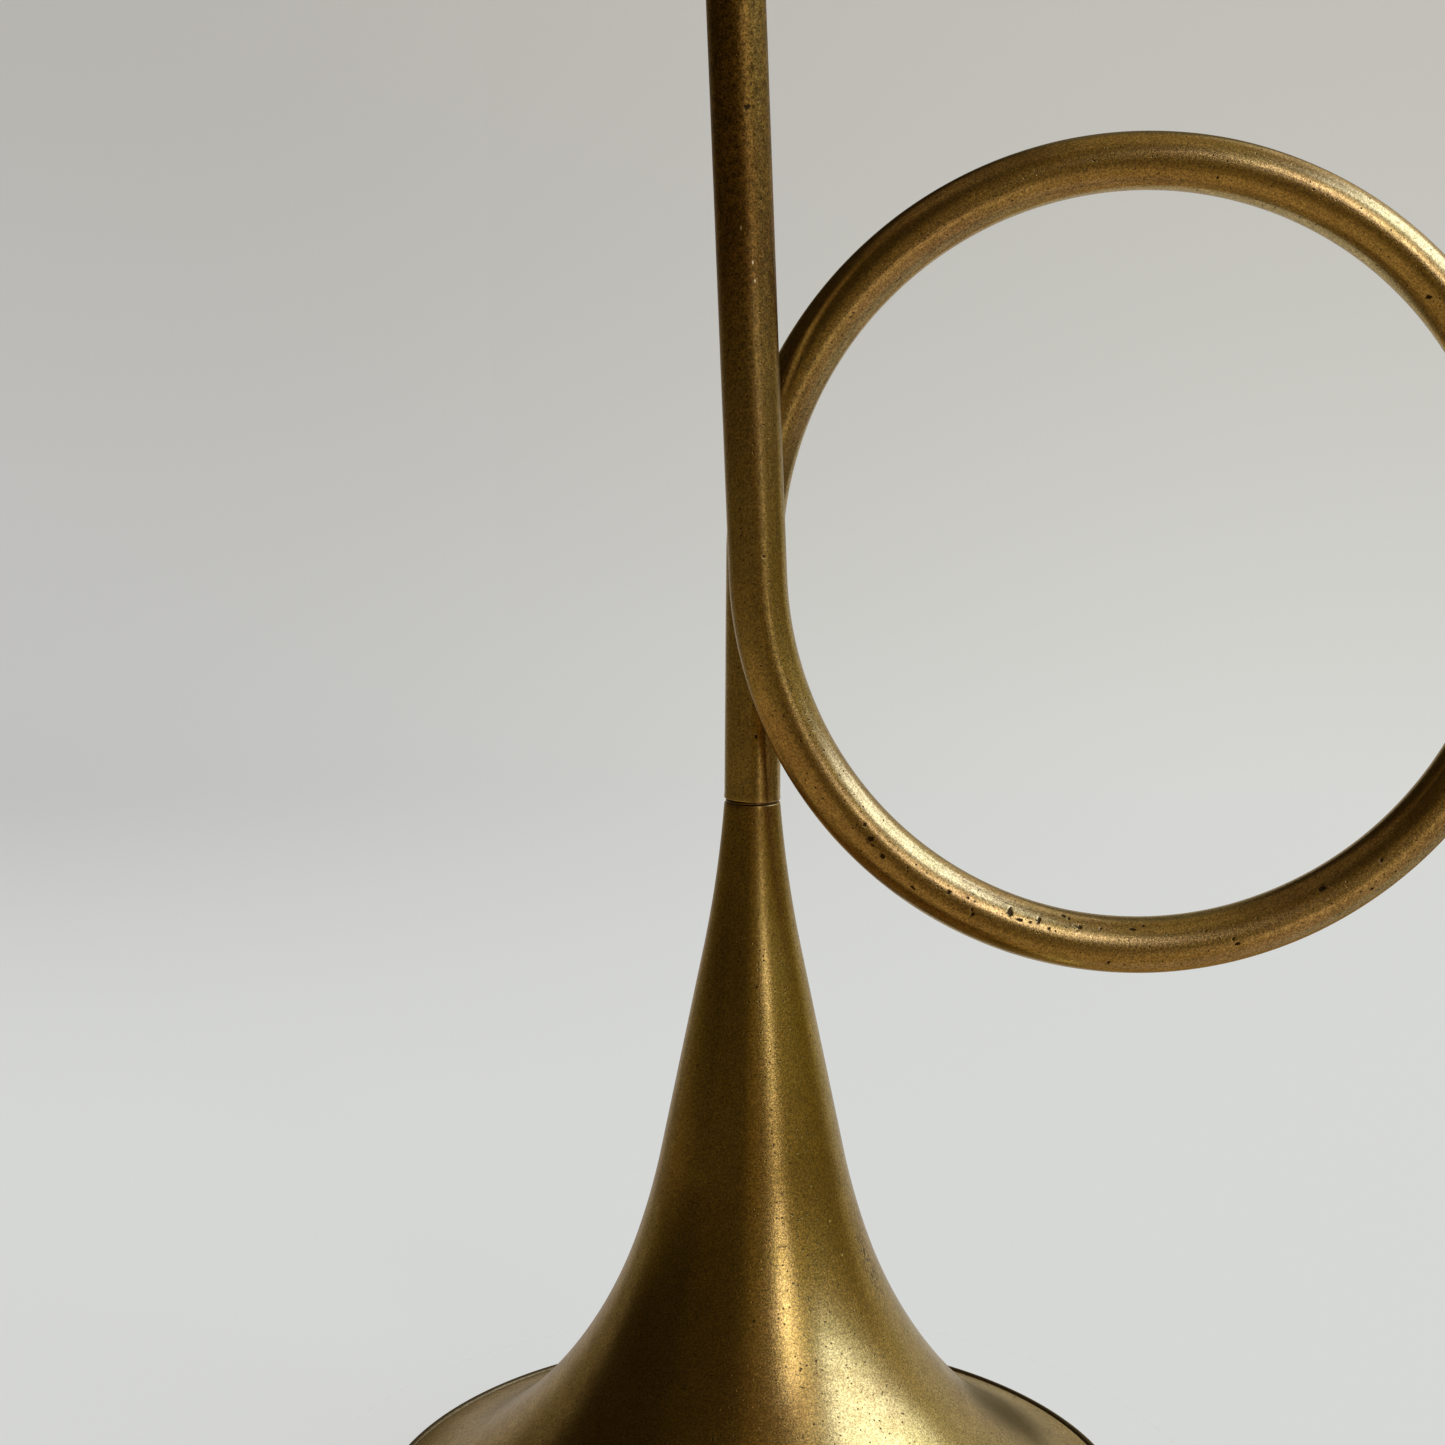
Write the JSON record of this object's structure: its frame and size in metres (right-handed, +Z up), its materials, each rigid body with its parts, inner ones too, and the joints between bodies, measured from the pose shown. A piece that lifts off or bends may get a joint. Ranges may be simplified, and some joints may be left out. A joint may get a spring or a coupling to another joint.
{
  "type": "natural horn",
  "caption": "Natural horn resting on its flared bell, with a looped brass tube screwed to the bell's neck, a straight upper run, a mouthpipe and a lift-out mouthpiece.",
  "frame": {"origin": "bottom centre of the whole horn's box, on the surface that the bell stands on; the bell's axis is 71.1 mm to the -X side of it", "axes": "+Z up, from the bell to the mouthpiece; +X from the bell's axis towards the loop; -Y towards the side where the upper run passes in front of the stem"},
  "size_m": [0.418, 0.2758, 0.6838],
  "materials": {
    "aged_brass": "unlacquered satin brass, aged to olive brown, finely brushed and pitted",
    "worn_brass": "satin brass worn brighter by handling",
    "dark_brass": "dull tarnished brass"
  },
  "bodies": {
    "bell": {"bell": "aged_brass", "bell_rim_wire": "worn_brass", "neck_socket": "dark_brass"},
    "washer": {"neck_washer": "dark_brass"},
    "coil": {"joint_nipple": "dark_brass", "stem_bush": "dark_brass", "coil_tube": "aged_brass", "crossing_brace": "dark_brass", "mouthpipe_ferrule": "worn_brass", "mouthpipe": "aged_brass", "mouthpiece_receiver": "worn_brass"},
    "mouthpiece": {"mouthpiece": "worn_brass"}
  },
  "joints": [
    {"name": "coil_unscrew", "type": "hinge", "parent": "bell", "child": "washer", "pos_m": [-0.07115, 0, 0.261], "axis": [0, 0, 1], "range_deg": [0, 1440]},
    {"name": "coil_rise", "type": "slide", "parent": "washer", "child": "coil", "axis": [0, 0, 1], "range_m": [0, 0.006]},
    {"name": "mouthpiece_pull", "type": "slide", "parent": "coil", "child": "mouthpiece", "axis": [-0.0384, 0, 0.9993], "range_m": [0, 0.022]}
  ],
  "couplings": [
    {"joint": "coil_rise", "follows": "coil_unscrew", "m_per_rad": 0.00023873}
  ]
}
